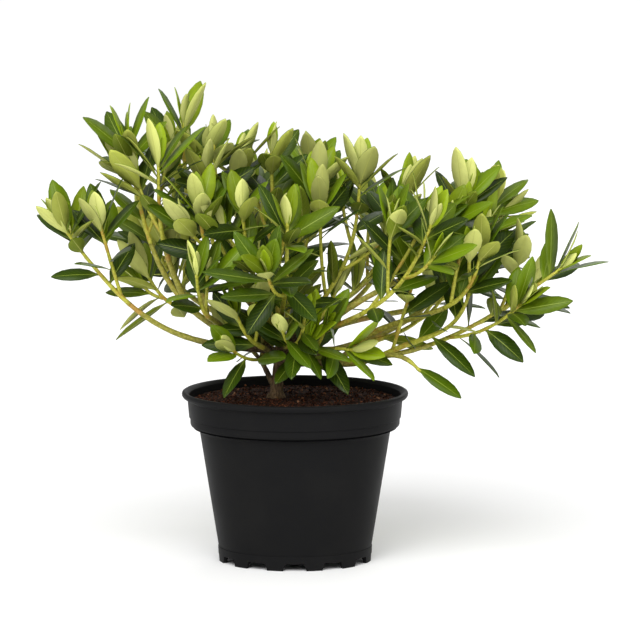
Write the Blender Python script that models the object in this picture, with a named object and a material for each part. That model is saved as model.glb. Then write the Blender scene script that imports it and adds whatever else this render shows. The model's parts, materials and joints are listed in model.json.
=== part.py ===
# A small rhododendron in a black nursery pot. Metres, +Z up.
# The plant is grown about the pot's axis, with +X right and +Y away from the viewer. Last, all of it
# moves so that the origin is on the ground in the middle of the whole plant's box.
import math
import random
from collections import namedtuple

import bmesh
import bpy
from mathutils import Matrix, Vector
from mathutils.bvhtree import BVHTree

MM = 0.001
CLEAR = 0.0003
LEADER_GAP = 0.00032
GOLDEN_ANGLE = math.radians(137.5)
UP = Vector((0, 0, 1))

# Pot
POT_HEIGHT = 0.145
POT_SEGMENTS = 36
WALL = 0.0016
LIP_RADIUS = 0.0964
COLLAR_TOP_RADIUS = 0.0918
COLLAR_FOOT_RADIUS = 0.0891
COLLAR_FOOT = 0.1165
LEDGE_RADIUS = 0.0813
LEDGE_FOOT = 0.1112
BODY_FOOT_RADIUS = 0.0652
BASE_RING_TOP = 0.0125
SKIRT_FOOT = 0.006
FLOOR_TOP = 0.0095
FLOOR_UNDERSIDE = 0.0078
SKIRT_WALL = 0.0032
FEET = 12
FOOT_WIDTH = 0.0158
FOOT_FLARE = 0.0022

# Soil
SOIL_RIM_LEVEL = 0.1365
SOIL_MOUND = 0.0028
SOIL_LUMP = 0.0009
SOIL_CALM = 0.045
SOIL_RINGS = 4
SOIL_SEGMENTS = 24

# Wood
LIMB_SIDES = 6
LEADER_STATIONS = 5
SIDE_STATIONS = 3
SHOOT_SIDES = 3
TRUNK_FOOT = Vector((-0.0160, 0.000, SOIL_RIM_LEVEL + SOIL_MOUND + CLEAR))
TRUNK_TOP = Vector((-0.0125, 0.003, 0.1860))
TRUNK_RADII = (0.0088, 0.0056, 0.0048, 0.0046, 0.0040)
TRUNK_STATIONS = (0.0, 0.10, 0.35, 0.75, 1.0)
LIMB_FOOT_RADIUS = 0.0030
LIMB_TIP_RADIUS = 0.0023
SHOOT_TIP_RADIUS = 0.0015
SIDE_SHOOT_RADIUS = 0.0019
BEND = 0.46
CURVE_STEPS = 14
LIMB_STATION = 0.034
SIDE_FIRST = 0.10
SIDE_SPAN = 0.42
SIDE_LENGTH = (0.74, 0.90)
SIDE_SPREAD = (34, 46)
SIDE_AHEAD = 0.4
SIDE_RISE = 0.9
SIDE_TRIES = 12
SIDE_TRY_TURN = 30
SEED = 42
LEAF_SEED = 142

# Leaves
LEAF_LENGTH = 0.0490
LEAF_WIDTH = 0.0202
LEAF_THICKNESS = 0.0011
LEAF_CUP = 0.10
LEAF_MIDDLE = 0.42
LEAF_OUTLINE = [(0.0, 0.0), (0.40, 0.92), (0.80, 0.80), (1.0, 0.0)]
NECK = 0.35
LENGTH_RANGE = (0.88, 1.12)
WIDTH_RANGE = (0.85, 1.12)
LEAF_BEND = 0.05
BEND_RANGE = 0.06
BEND_BY_OPENING = 0.0008
WHORL_START = 0.0008
WHORL_SPACING = 0.0017
WHORL_OPENING = 11
WHORL_OPENING_STEP = 6
WHORL_SIZE = 0.70
WHORL_SIZE_STEP = 0.12
STEM_LEAF_START = 0.016
STEM_LEAF_SPACING = 0.0125
STEM_LEAF_RANGE = (0.8, 1.25)
STEM_LEAF_OPENING = (46, 66)
STEM_LEAF_SIZE = 0.98
OPENING_RANGE = 6
LEAST_OPENING = 8
LEAF_TRIES = 8
TRY_TURN = 17
TRY_OPENING = 5
BLADE_START = 0.02
ROOT_FREE = 0.04
OWN_SHOOT_FREE = 0.45
BLADE_MARGIN = 0.0002
LEAF_MARGIN = 0.0009
LIMB_MARGIN = 0.0010
LIP_MARGIN = 0.003
NEAR = 1.3 * LEAF_LENGTH
LIGHT_TURN = 0.5
LIGHT_OPENING = 70
HANGING_LIGHT = 2.5
LEAF_RISE = 0.42
RISE_START = 0.3
LEADER_BARE = 0.08
SIDE_BARE = 0.40
# The solids hold two leaves of every three, so that each mass stays light.
LEAF_GROUP = 3

# One row is one limb that ends in a mass of foliage. The tip is the end of its leading shoot in mm:
# side (right +), depth (away +) and height. It leaves its parent `along` from the parent's foot, at
# `launch` degrees over level, and ends `lean` degrees off upright. The last `leafy` mm are foliage,
# and a row with none for it is a shoot with leaves from the trunk on.
Limb = namedtuple("Limb", "name parent along side depth height launch lean leafy shoots turn leaves")
LIMBS = [
    Limb("far_left", "trunk", 0.86, -197, -15, 288, 2, 36, 88, 3, 150, 7),
    Limb("left", "trunk", 0.80, -141, -8, 354, 16, 10, 84, 3, 200, 7),
    Limb("left_front", "left", 0.34, -82, -76, 251, 30, 14, 46, 2, 60, 7),
    Limb("left_inner", "left", 0.45, -95, 46, 365, 68, 0, 92, 4, 130, 7),
    Limb("left_middle", "left", 0.62, -115, -34, 341, 55, 0, 66, 2, 310, 7),
    Limb("left_under", "left", 0.53, -126, 36, 239, 6, 40, 56, 3, 50, 5),
    Limb("upper_left", "trunk", 0.93, -69, 22, 349, 52, 4, 100, 4, 80, 7),
    Limb("upper_left_front", "upper_left", 0.42, -80, -58, 305, 45, 8, 66, 3, 240, 7),
    Limb("upper_centre", "trunk", 1.00, -20, 34, 342, 74, 2, 0, 4, 20, 7),
    Limb("centre_left", "trunk", 0.94, -44, -48, 304, 62, 8, 104, 3, 190, 7),
    Limb("front", "trunk", 0.97, -6, -112, 298, 52, 8, 0, 3, 95, 7),
    Limb("back_centre", "trunk", 0.88, 16, 84, 323, 62, 4, 0, 3, 300, 7),
    Limb("upper_right", "trunk", 0.84, 93, 46, 306, 36, 14, 124, 3, 150, 7),
    Limb("centre_right", "upper_right", 0.20, 55, 6, 326, 52, 2, 118, 4, 30, 7),
    Limb("right", "trunk", 0.78, 113, -90, 295, 30, 24, 108, 4, 210, 7),
    Limb("right_upper", "right", 0.42, 143, -14, 312, 44, 14, 78, 3, 330, 7),
    Limb("lower_right", "trunk", 0.70, 168, 34, 301, 6, 24, 104, 3, 100, 7),
    Limb("lower_right_front", "lower_right", 0.50, 157, -56, 273, 34, 10, 66, 3, 260, 7),
    Limb("far_right", "trunk", 0.60, 223, -16, 250, 2, 54, 124, 4, 15, 7),
    Limb("right_under", "far_right", 0.36, 124, 40, 228, 30, 26, 80, 3, 170, 6),
    Limb("right_low", "far_right", 0.34, 103, -30, 169, -12, 134, 10, 1, 0, 1),
    Limb("right_fork", "far_right", 0.66, 148, -34, 236, 30, 14, 0, 2, 20, 5),
    Limb("back_left", "trunk", 0.66, -107, 140, 300, 32, 20, 96, 3, 70, 7),
    Limb("back", "trunk", 0.82, -17, 172, 293, 34, 22, 100, 3, 250, 7),
    Limb("back_right", "trunk", 0.54, 94, 148, 291, 30, 20, 100, 3, 140, 7),
    Limb("right_back", "back_right", 0.40, 168, 104, 256, 20, 30, 70, 2, 320, 7),
    Limb("left_back", "back_left", 0.40, -124, 92, 266, 18, 26, 62, 3, 40, 7),
    Limb("low_right", "trunk", 0.62, 47, -36, 185, 22, 92, 0, 3, 160, 5),
    Limb("low_left", "trunk", 0.10, -50, 14, 185, 60, 70, 34, 2, 120, 5),
    Limb("low_front", "trunk", 0.80, 8, -70, 213, 30, 30, 0, 3, 60, 5),
    Limb("low_front_left", "trunk", 0.72, -49, -56, 217, 28, 34, 0, 3, 245, 5),
    Limb("low_middle", "trunk", 0.90, 33, 16, 224, 40, 24, 0, 3, 320, 5),
    Limb("low_back", "trunk", 0.84, -8, 92, 211, 32, 30, 0, 2, 20, 5),
]


def clear_scene():
    for item in list(bpy.data.objects):
        bpy.data.objects.remove(item, do_unlink=True)


def make_material(name, colour, roughness):
    material = bpy.data.materials.new(name)
    material.use_nodes = True
    shader = material.node_tree.nodes["Principled BSDF"]
    shader.inputs["Base Color"].default_value = (*colour, 1)
    shader.inputs["Roughness"].default_value = roughness
    shader.inputs["Metallic"].default_value = 0.0
    return material


def add_object(name, bm, material=None, smooth=False):
    mesh = bpy.data.meshes.new(name)
    bmesh.ops.recalc_face_normals(bm, faces=bm.faces)
    bm.to_mesh(mesh)
    bm.free()
    if material:
        mesh.materials.append(material)
    if smooth:
        mesh.shade_smooth()
        mesh.set_sharp_from_angle(angle=math.radians(35))
    item = bpy.data.objects.new(name, mesh)
    bpy.context.scene.collection.objects.link(item)
    return item


def apply_boolean(item, operation, cutter, solver="EXACT"):
    """Join or cut `item` by one object or by every object of a collection, and apply it."""
    modifier = item.modifiers.new("Boolean", "BOOLEAN")
    modifier.operation = operation
    modifier.solver = solver
    if isinstance(cutter, bpy.types.Collection):
        modifier.operand_type = "COLLECTION"
        modifier.collection = cutter
    else:
        modifier.object = cutter
    bpy.context.view_layer.update()
    evaluated = item.evaluated_get(bpy.context.evaluated_depsgraph_get())
    mesh = bpy.data.meshes.new_from_object(evaluated)
    item.modifiers.remove(modifier)
    old = item.data
    item.data = mesh
    bpy.data.meshes.remove(old)


# Pot

def wall_profile():
    """Outer side from the feet up to the lip, then the inner side down to the middle of the floor."""
    lip = POT_HEIGHT
    outer = [
        (BODY_FOOT_RADIUS, 0.0),
        (BODY_FOOT_RADIUS + 0.0004, BASE_RING_TOP),
        (BODY_FOOT_RADIUS + 0.0009, BASE_RING_TOP + 0.0012),
        (LEDGE_RADIUS, LEDGE_FOOT),
        (COLLAR_FOOT_RADIUS - 0.0022, COLLAR_FOOT - 0.0012),
        (COLLAR_FOOT_RADIUS, COLLAR_FOOT + 0.0010),
        (COLLAR_TOP_RADIUS, lip - 0.0062),
        (LIP_RADIUS - 0.0007, lip - 0.0044),
        (LIP_RADIUS, lip - 0.0022),
        (LIP_RADIUS - 0.0008, lip - 0.0004),
        (LIP_RADIUS - 0.0026, lip),
    ]
    inner = [
        (COLLAR_TOP_RADIUS - WALL, lip - 0.0024),
        (COLLAR_FOOT_RADIUS - WALL, COLLAR_FOOT + 0.0022),
        (LEDGE_RADIUS - WALL, LEDGE_FOOT + 0.0010),
        (BODY_FOOT_RADIUS - WALL, FLOOR_TOP),
        (0.0, FLOOR_TOP),
    ]
    underside = [
        (0.0, FLOOR_UNDERSIDE),
        (BODY_FOOT_RADIUS - SKIRT_WALL - 0.0010, FLOOR_UNDERSIDE),
        (BODY_FOOT_RADIUS - SKIRT_WALL, 0.0),
    ]
    return outer + inner + underside


def make_notch(bearing):
    """A wedge between two feet, wider at the ground than at the skirt."""
    bm = bmesh.new()
    gap = 2 * math.pi * BODY_FOOT_RADIUS / FEET - FOOT_WIDTH
    low, high = gap / 2 + FOOT_FLARE / 2, gap / 2 - FOOT_FLARE / 2
    depth = SKIRT_WALL * 4
    for end in (-depth / 2, depth / 2):
        corners = [(-low, -MM), (low, -MM), (high, SKIRT_FOOT), (-high, SKIRT_FOOT)]
        bm.faces.new([bm.verts.new((BODY_FOOT_RADIUS + end, y, z)) for y, z in corners])
    bmesh.ops.bridge_loops(bm, edges=list(bm.edges))
    bmesh.ops.transform(bm, matrix=Matrix.Rotation(bearing, 4, "Z"), verts=bm.verts)
    return bm


def make_pot(material):
    bm = bmesh.new()
    points = [bm.verts.new((radius, 0, height)) for radius, height in wall_profile()]
    edges = [bm.edges.new(pair) for pair in zip(points, points[1:] + points[:1])]
    bmesh.ops.spin(
        bm,
        geom=points + edges,
        cent=(0, 0, 0),
        axis=(0, 0, 1),
        angle=2 * math.pi,
        steps=POT_SEGMENTS,
        use_merge=True,
    )
    bmesh.ops.remove_doubles(bm, verts=bm.verts, dist=0.00001)
    loose = [edge for edge in bm.edges if not edge.link_faces]
    bmesh.ops.delete(bm, geom=loose, context="EDGES")
    pot = add_object("pot", bm, material, smooth=True)

    notches = bpy.data.collections.new("notches")
    bpy.context.scene.collection.children.link(notches)
    for step in range(FEET):
        notch = add_object(f"notch_{step}", make_notch(2 * math.pi * step / FEET))
        bpy.context.scene.collection.objects.unlink(notch)
        notches.objects.link(notch)
    apply_boolean(pot, "DIFFERENCE", notches)
    remove_collection(notches)
    return pot


def remove_collection(collection):
    for item in list(collection.objects):
        bpy.data.objects.remove(item, do_unlink=True)
    bpy.data.collections.remove(collection)


# Soil

def soil_height(x, y):
    """A low mound with lumps, level with its edge at the pot's wall."""
    edge = COLLAR_FOOT_RADIUS
    swell = SOIL_MOUND * max(0.0, 1 - (x * x + y * y) / edge ** 2)
    lump = math.sin(x * 190 + 1.3) * math.cos(y * 230) + 0.6 * math.sin(x * 410 + y * 350)
    calm = min(1.0, math.hypot(x - TRUNK_FOOT.x, y - TRUNK_FOOT.y) / SOIL_CALM)
    return SOIL_RIM_LEVEL + swell + SOIL_LUMP * lump * calm ** 2


def make_soil(material):
    facet = math.cos(math.pi / POT_SEGMENTS)

    def within(radius):
        """The widest radius that stays clear of the pot's flat facets."""
        return (radius - WALL) * facet - 2 * CLEAR

    profile = [
        (0.0, FLOOR_TOP + CLEAR),
        (within(BODY_FOOT_RADIUS), FLOOR_TOP + CLEAR),
        (within(LEDGE_RADIUS), LEDGE_FOOT + MM),
        (within(COLLAR_FOOT_RADIUS), COLLAR_FOOT + 0.0026),
    ]
    edge = within(COLLAR_FOOT_RADIUS) + 0.0012
    profile += [(edge * (1 - ring / SOIL_RINGS), SOIL_RIM_LEVEL) for ring in range(SOIL_RINGS + 1)]
    bm = bmesh.new()
    points = [bm.verts.new((radius, 0, height)) for radius, height in profile]
    edges = [bm.edges.new(pair) for pair in zip(points, points[1:])]
    bmesh.ops.spin(
        bm,
        geom=points + edges,
        cent=(0, 0, 0),
        axis=(0, 0, 1),
        angle=2 * math.pi,
        steps=SOIL_SEGMENTS,
        use_merge=True,
    )
    bmesh.ops.remove_doubles(bm, verts=bm.verts, dist=0.00001)
    for vert in bm.verts:
        if vert.co.z > SOIL_RIM_LEVEL - MM:
            vert.co.z = soil_height(vert.co.x, vert.co.y)
    return add_object("soil", bm, material)


# Curves of the wood

def limb_curve(start, tip, launch, lean):
    """Points of a smooth limb that leaves `start` at `launch` over level and ends `lean` off upright."""
    reach = tip - start
    heading = Vector((reach.x, reach.y, 0)).normalized()
    launch, lean = math.radians(launch), math.radians(lean)
    pull = reach.length * BEND
    first = start + pull * (math.cos(launch) * heading + math.sin(launch) * UP)
    last = tip - pull * (math.sin(lean) * heading + math.cos(lean) * UP)
    points = []
    for step in range(CURVE_STEPS + 1):
        t = step / CURVE_STEPS
        s = 1 - t
        points.append(s ** 3 * start + 3 * s * s * t * first + 3 * s * t * t * last + t ** 3 * tip)
    return points


def path_length(points):
    return sum((b - a).length for a, b in zip(points, points[1:]))


def point_at(points, distance):
    """The place and heading at a distance from a path's foot."""
    for a, b in zip(points, points[1:]):
        step = (b - a).length
        if distance <= step:
            return a.lerp(b, max(distance, 0) / step), (b - a).normalized()
        distance -= step
    return points[-1].copy(), (points[-1] - points[-2]).normalized()


def cut_path(points, start, end, stations):
    """The part of a path between two distances, as evenly spaced points."""
    return [point_at(points, start + (end - start) * k / (stations - 1))[0] for k in range(stations)]


def tube_shape(points, radii, sides, facing=None):
    """Corners and faces of a closed tapering tube along a path. Its first ring may be told its facing."""
    corners, faces = [], []
    heading = facing or (points[1] - points[0]).normalized()
    across = heading.orthogonal().normalized()
    for index, (point, radius) in enumerate(zip(points, radii)):
        if index:
            ahead = points[min(index + 1, len(points) - 1)]
            heading = (ahead - points[index - 1]).normalized()
        across = (across - across.dot(heading) * heading).normalized()
        other = heading.cross(across)
        for side in range(sides):
            turn = 2 * math.pi * side / sides
            corners.append(point + radius * (math.cos(turn) * across + math.sin(turn) * other))
    last = sides * (len(points) - 1)
    for ring in range(0, last, sides):
        for side in range(sides):
            beside = (side + 1) % sides
            faces.append((ring + side, ring + beside, ring + sides + beside, ring + sides + side))
    faces.append(tuple(reversed(range(sides))))
    faces.append(tuple(range(last, last + sides)))
    return corners, faces


def mesh_of(shape):
    corners, faces = shape
    bm = bmesh.new()
    verts = [bm.verts.new(corner) for corner in corners]
    for face in faces:
        bm.faces.new([verts[index] for index in face])
    return bm


def tree_of(shape):
    return BVHTree.FromPolygons(*shape)


def taper(foot, tip, count):
    return [foot + (tip - foot) * k / (count - 1) for k in range(count)]


# Leaves

def leaf_shape(frame, length, width, bend):
    """A cupped blade of 12 faces. Its narrow end is three-sided and starts inside the shoot."""
    corners = []
    outline = LEAF_OUTLINE + [(along, -across) for along, across in reversed(LEAF_OUTLINE[1:-1])]
    for along, across in outline:
        lift = LEAF_CUP * width * abs(across) - bend * length * along ** 2
        corners.append(Vector((width / 2 * across, length * along, lift)))
    middle = -bend * length * LEAF_MIDDLE ** 2
    for depth in (0, LEAF_THICKNESS):
        corners.append(Vector((0, LEAF_MIDDLE * length, middle - depth)))
    last = len(outline) - 1
    top, keel = last + 1, last + 2
    faces = [(0, 1, last), (last, 1, top)]
    faces += [(k, k + 1, top) for k in range(1, last)]
    faces += [((k + 1) % (last + 1), k, keel) for k in range(last + 1)]
    return [frame @ corner for corner in corners], faces


def blade_proxy(frame, length, width, bend, start, margin):
    """Two flat fans, `margin` above and below the blade, that stand for it in the tests of clearance."""
    half = width / 2 + margin
    right = [(start, NECK)] + LEAF_OUTLINE[1:]
    rim = right + [(along, -across) for along, across in reversed(right[:-1])]
    count = len(rim)
    corners, faces = [], []
    for side in (margin, -margin):
        first = len(corners)
        for along, across in rim:
            lift = LEAF_CUP * width * abs(across) - bend * length * along ** 2 + side
            reach = (length + margin) * along
            corners.append(frame @ Vector((half * across, reach, lift)))
        corners.append(frame @ Vector((0, LEAF_MIDDLE * length, side - bend * length * LEAF_MIDDLE ** 2)))
        faces += [(first + k, first + (k + 1) % count, first + count) for k in range(count)]
    return corners, faces


def leaf_frame(root, heading, face_up):
    """Local +Y runs along the blade and local +Z is its upper side."""
    y = heading.normalized()
    z = (face_up - face_up.dot(y) * y).normalized()
    x = y.cross(z)
    return Matrix.Translation(root) @ Matrix((x, y, z)).transposed().to_4x4()


# Growth of the plant

class Space:
    """What has grown so far, against which each new shoot and leaf is tested."""

    def __init__(self):
        self.wood = []
        self.blades = []

    def add_wood(self, owner, points, radii):
        self.wood.append((owner, tree_of(tube_shape(points, radii, LIMB_SIDES))))

    def wood_is_clear(self, owners, tree):
        return not any(owner not in owners and tree.overlap(other) for owner, other in self.wood)

    def blade_is_clear(self, shoot, blade):
        """`blade` is (frame, length, width, bend). A shoot's own leaves may touch near their roots."""
        wide = tree_of(blade_proxy(*blade, ROOT_FREE, LEAF_MARGIN))
        outer = tree_of(blade_proxy(*blade, OWN_SHOOT_FREE, BLADE_MARGIN))
        middle = blade[0] @ Vector((0, blade[1] / 2, 0))
        if not self.wood_is_clear({shoot}, tree_of(blade_proxy(*blade, ROOT_FREE, LIMB_MARGIN))):
            return False
        for other_shoot, other_middle, full, part in self.blades:
            if (middle - other_middle).length > NEAR:
                continue
            if other_shoot == shoot:
                if outer.overlap(part):
                    return False
            elif wide.overlap(full):
                return False
        return True

    def add_blade(self, shoot, blade):
        full = tree_of(blade_proxy(*blade, BLADE_START, BLADE_MARGIN))
        part = tree_of(blade_proxy(*blade, OWN_SHOOT_FREE, BLADE_MARGIN))
        self.blades.append((shoot, blade[0] @ Vector((0, blade[1] / 2, 0)), full, part))


def side_shoot(leader, along, turn, length, rng):
    """A shoot that leaves its leader at an angle and then turns upright."""
    root, heading = point_at(leader, along * path_length(leader))
    across = heading.orthogonal().normalized()
    outward = math.cos(turn) * across + math.sin(turn) * heading.cross(across)
    spread = math.radians(rng.uniform(*SIDE_SPREAD))
    start = math.cos(spread) * heading + math.sin(spread) * outward
    finish = (start + SIDE_RISE * UP + SIDE_AHEAD * heading).normalized()
    tip = root + length * (0.5 * start + 0.5 * finish)
    points = []
    for step in range(SIDE_STATIONS):
        t = step / (SIDE_STATIONS - 1)
        points.append((1 - t) ** 2 * root + 2 * t * (1 - t) * (root + 0.5 * length * start) + t * t * tip)
    return points


def leaf_places(points, rng, bare, whorl):
    """Distance along a shoot, opening angle and size of each leaf, from the tip down to `bare`."""
    total = path_length(points)
    places = []
    for rank in range(whorl):
        size = min(1.0, WHORL_SIZE + WHORL_SIZE_STEP * rank) if whorl > 1 else 1.0
        opening = WHORL_OPENING + WHORL_OPENING_STEP * rank
        places.append((total - WHORL_START - rank * WHORL_SPACING, opening, size))
    distance = total - STEM_LEAF_START
    while distance > bare:
        places.append((distance, rng.uniform(*STEM_LEAF_OPENING), STEM_LEAF_SIZE))
        distance -= STEM_LEAF_SPACING * rng.uniform(*STEM_LEAF_RANGE)
    return places


def over_pot(blade):
    """Whether a blade would dip into the pot or touch its lip."""
    for corner in blade_proxy(*blade, ROOT_FREE, LEAF_MARGIN)[0]:
        if corner.z < POT_HEIGHT + LIP_MARGIN and corner.xy.length < LIP_RADIUS + LIP_MARGIN:
            return True
    return False


def grow_leaves(points, shoot, bare, whorl, space, rng):
    """Leaves by the golden angle from the tip down. One that touches anything is turned, then skipped."""
    leaves = []
    turn = rng.uniform(0, 2 * math.pi)
    for rank, (distance, opening, size) in enumerate(leaf_places(points, rng, bare, whorl)):
        root, axis = point_at(points, distance)
        across = axis.orthogonal().normalized()
        opening += rng.uniform(-OPENING_RANGE, OPENING_RANGE)
        length = LEAF_LENGTH * size * rng.uniform(*LENGTH_RANGE)
        width = LEAF_WIDTH * math.sqrt(size) * rng.uniform(*WIDTH_RANGE)
        bend = LEAF_BEND + rng.uniform(-BEND_RANGE, BEND_RANGE) + BEND_BY_OPENING * opening
        for attempt in range(LEAF_TRIES):
            nudge = (attempt + 1) // 2 * (1 if attempt % 2 else -1)
            angle = turn + rank * GOLDEN_ANGLE + nudge * math.radians(TRY_TURN)
            lean = math.radians(max(LEAST_OPENING, opening + (attempt % 3 - 1) * TRY_OPENING))
            outward = math.cos(angle) * across + math.sin(angle) * axis.cross(across)
            rise = LEAF_RISE * min(1.0, max(0.0, axis.z + RISE_START))
            heading = math.cos(lean) * axis + math.sin(lean) * outward + rise * UP
            upper = math.sin(lean) * axis - math.cos(lean) * outward
            light = LIGHT_TURN * min(1.0, opening / LIGHT_OPENING) + HANGING_LIGHT * max(0.0, -axis.z)
            frame = leaf_frame(root, heading, upper + light * UP)
            blade = (frame, length, width, bend)
            if not over_pot(blade) and space.blade_is_clear(shoot, blade):
                space.add_blade(shoot, blade)
                leaves.append((blade, rank))
                break
    return leaves


def grow_plant():
    """Every limb with its path, and its mass with shoots and leaves."""
    space = Space()
    trunk = [TRUNK_FOOT.lerp(TRUNK_TOP, along) for along in TRUNK_STATIONS]
    space.add_wood("trunk", trunk, TRUNK_RADII)
    limbs = {"trunk": dict(path=trunk, radii=TRUNK_RADII)}
    for row in LIMBS:
        parent = limbs[row.parent]["path"]
        start = point_at(parent, row.along * path_length(parent))[0]
        tip = Vector((row.side, row.depth, row.height)) * MM
        whole = limb_curve(start, tip, row.launch, row.lean)
        total = path_length(whole)
        if row.leafy:
            enters = total - row.leafy * MM
            path = cut_path(whole, 0, enters, max(3, round(enters / LIMB_STATION) + 1))
            radii = taper(LIMB_FOOT_RADIUS, LIMB_TIP_RADIUS, len(path))
            facing = (path[-1] - path[-2]).normalized()
            leader = cut_path(whole, enters + LEADER_GAP, total, LEADER_STATIONS)
            leader_radii = taper(LIMB_TIP_RADIUS, SHOOT_TIP_RADIUS, LEADER_STATIONS)
            space.add_wood(row.name, path, radii)
        else:
            path = leader = cut_path(whole, 0, total, LEADER_STATIONS)
            radii = leader_radii = taper(LIMB_FOOT_RADIUS, SHOOT_TIP_RADIUS, LEADER_STATIONS)
            facing = None
        space.add_wood(row.name + "_0", leader, leader_radii)
        limbs[row.name] = dict(
            path=path,
            radii=radii,
            leader=leader,
            leader_radii=leader_radii,
            facing=facing,
            leafy=path_length(leader),
        )

    for number, row in enumerate(LIMBS):
        rng = random.Random(SEED + number)
        limb = limbs[row.name]
        limb["shoots"] = [(limb["leader"], limb["leader_radii"], limb["facing"])]
        for side in range(1, row.shoots):
            along = SIDE_FIRST + SIDE_SPAN * (side - 1) / max(1, row.shoots - 2)
            length = limb["leafy"] * (1 - along) * rng.uniform(*SIDE_LENGTH)
            for attempt in range(SIDE_TRIES):
                turn = math.radians(row.turn + attempt * SIDE_TRY_TURN) + side * GOLDEN_ANGLE
                points = side_shoot(limb["leader"], along, turn, length, rng)
                radii = taper(SIDE_SHOOT_RADIUS, SHOOT_TIP_RADIUS, len(points))
                wider = [radius + LIMB_MARGIN for radius in radii]
                tree = tree_of(tube_shape(points, wider, LIMB_SIDES))
                if space.wood_is_clear({f"{row.name}_0"}, tree):
                    limb["shoots"].append((points, radii, None))
                    space.add_wood(f"{row.name}_{side}", points, radii)
                    break

    for number, row in enumerate(LIMBS):
        rng = random.Random(LEAF_SEED + number)
        limb = limbs[row.name]
        limb["leaves"] = []
        for index, (points, *_) in enumerate(limb["shoots"]):
            bare = path_length(points) * (LEADER_BARE if index == 0 else SIDE_BARE)
            limb["leaves"] += grow_leaves(points, f"{row.name}_{index}", bare, row.leaves, space, rng)
    return limbs


# Solids of the plant

def largest_piece(item):
    """Keep only the largest connected piece of a solid, without scraps or sealed hollows."""
    bm = bmesh.new()
    bm.from_mesh(item.data)
    left = set(bm.faces)
    pieces = []
    while left:
        piece, queue = set(), [left.pop()]
        while queue:
            face = queue.pop()
            piece.add(face)
            beside = {other for edge in face.edges for other in edge.link_faces} & left
            left -= beside
            queue += beside
        pieces.append(piece)
    keep = max(pieces, key=len)
    bmesh.ops.delete(bm, geom=[face for face in bm.faces if face not in keep], context="FACES")
    bm.to_mesh(item.data)
    bm.free()


def cut_clear(item, shape, others):
    """Cut a solid with this shape clear of the wood that it grows from."""
    for other in others:
        wider = [radius + CLEAR * 1.25 for radius in other["radii"]]
        wide_shape = tube_shape(other["path"], wider, LIMB_SIDES)
        if tree_of(wide_shape).overlap(tree_of(shape)):
            cutter = add_object("cutter", mesh_of(wide_shape))
            apply_boolean(item, "DIFFERENCE", cutter)
            bpy.data.objects.remove(cutter, do_unlink=True)
            largest_piece(item)


def make_mass(name, limb, earlier, material):
    """A leading shoot with its side shoots and leaves, joined into one solid."""
    parts = bpy.data.collections.new(name)
    bpy.context.scene.collection.children.link(parts)
    shapes = [tube_shape(points, radii, SHOOT_SIDES, facing) for points, radii, facing in limb["shoots"]]
    shapes += [leaf_shape(*blade) for blade, rank in limb["leaves"] if (rank + 1) % LEAF_GROUP]
    mass = add_object(name, mesh_of(shapes[0]), material)
    for index, shape in enumerate(shapes[1:]):
        item = add_object(f"{name}_{index}", mesh_of(shape))
        bpy.context.scene.collection.objects.unlink(item)
        parts.objects.link(item)
    apply_boolean(mass, "UNION", parts)
    remove_collection(parts)
    largest_piece(mass)
    if not limb["facing"]:
        cut_clear(mass, shapes[0], earlier)


def centre_on_origin():
    """Move all the solids so that the origin is in the middle of their box, on the ground."""
    corners = [corner.co for item in bpy.data.objects for corner in item.data.vertices]
    shift = Vector((0, 0, 0))
    for axis in (0, 1):
        places = [corner[axis] for corner in corners]
        shift[axis] = -(min(places) + max(places)) / 2
    for item in bpy.data.objects:
        item.data.transform(Matrix.Translation(shift))


def main():
    clear_scene()
    black_plastic = make_material("black_plastic", (0.012, 0.012, 0.013), 0.42)
    peat = make_material("peat", (0.035, 0.014, 0.008), 0.95)
    bark = make_material("bark", (0.16, 0.10, 0.05), 0.8)
    green_wood = make_material("green_wood", (0.42, 0.38, 0.09), 0.55)
    foliage = make_material("foliage", (0.13, 0.20, 0.03), 0.4)

    make_pot(black_plastic)
    make_soil(peat)
    limbs = grow_plant()
    trunk = limbs["trunk"]
    add_object("trunk", mesh_of(tube_shape(trunk["path"], trunk["radii"], LIMB_SIDES, UP)), bark)
    earlier = [trunk]
    for row in LIMBS:
        limb = limbs[row.name]
        if row.leafy:
            shape = tube_shape(limb["path"], limb["radii"], LIMB_SIDES)
            bough = add_object("bough_" + row.name, mesh_of(shape), green_wood)
            cut_clear(bough, shape, earlier)
        make_mass("foliage_" + row.name, limb, earlier, foliage)
        earlier.append(limb)
    centre_on_origin()


main()
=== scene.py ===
# A small rhododendron in a black nursery pot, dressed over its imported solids
import json
import math
import random

import bmesh
import bpy
from mathutils import Matrix, Vector, noise
from mathutils.bvhtree import BVHTree

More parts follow.
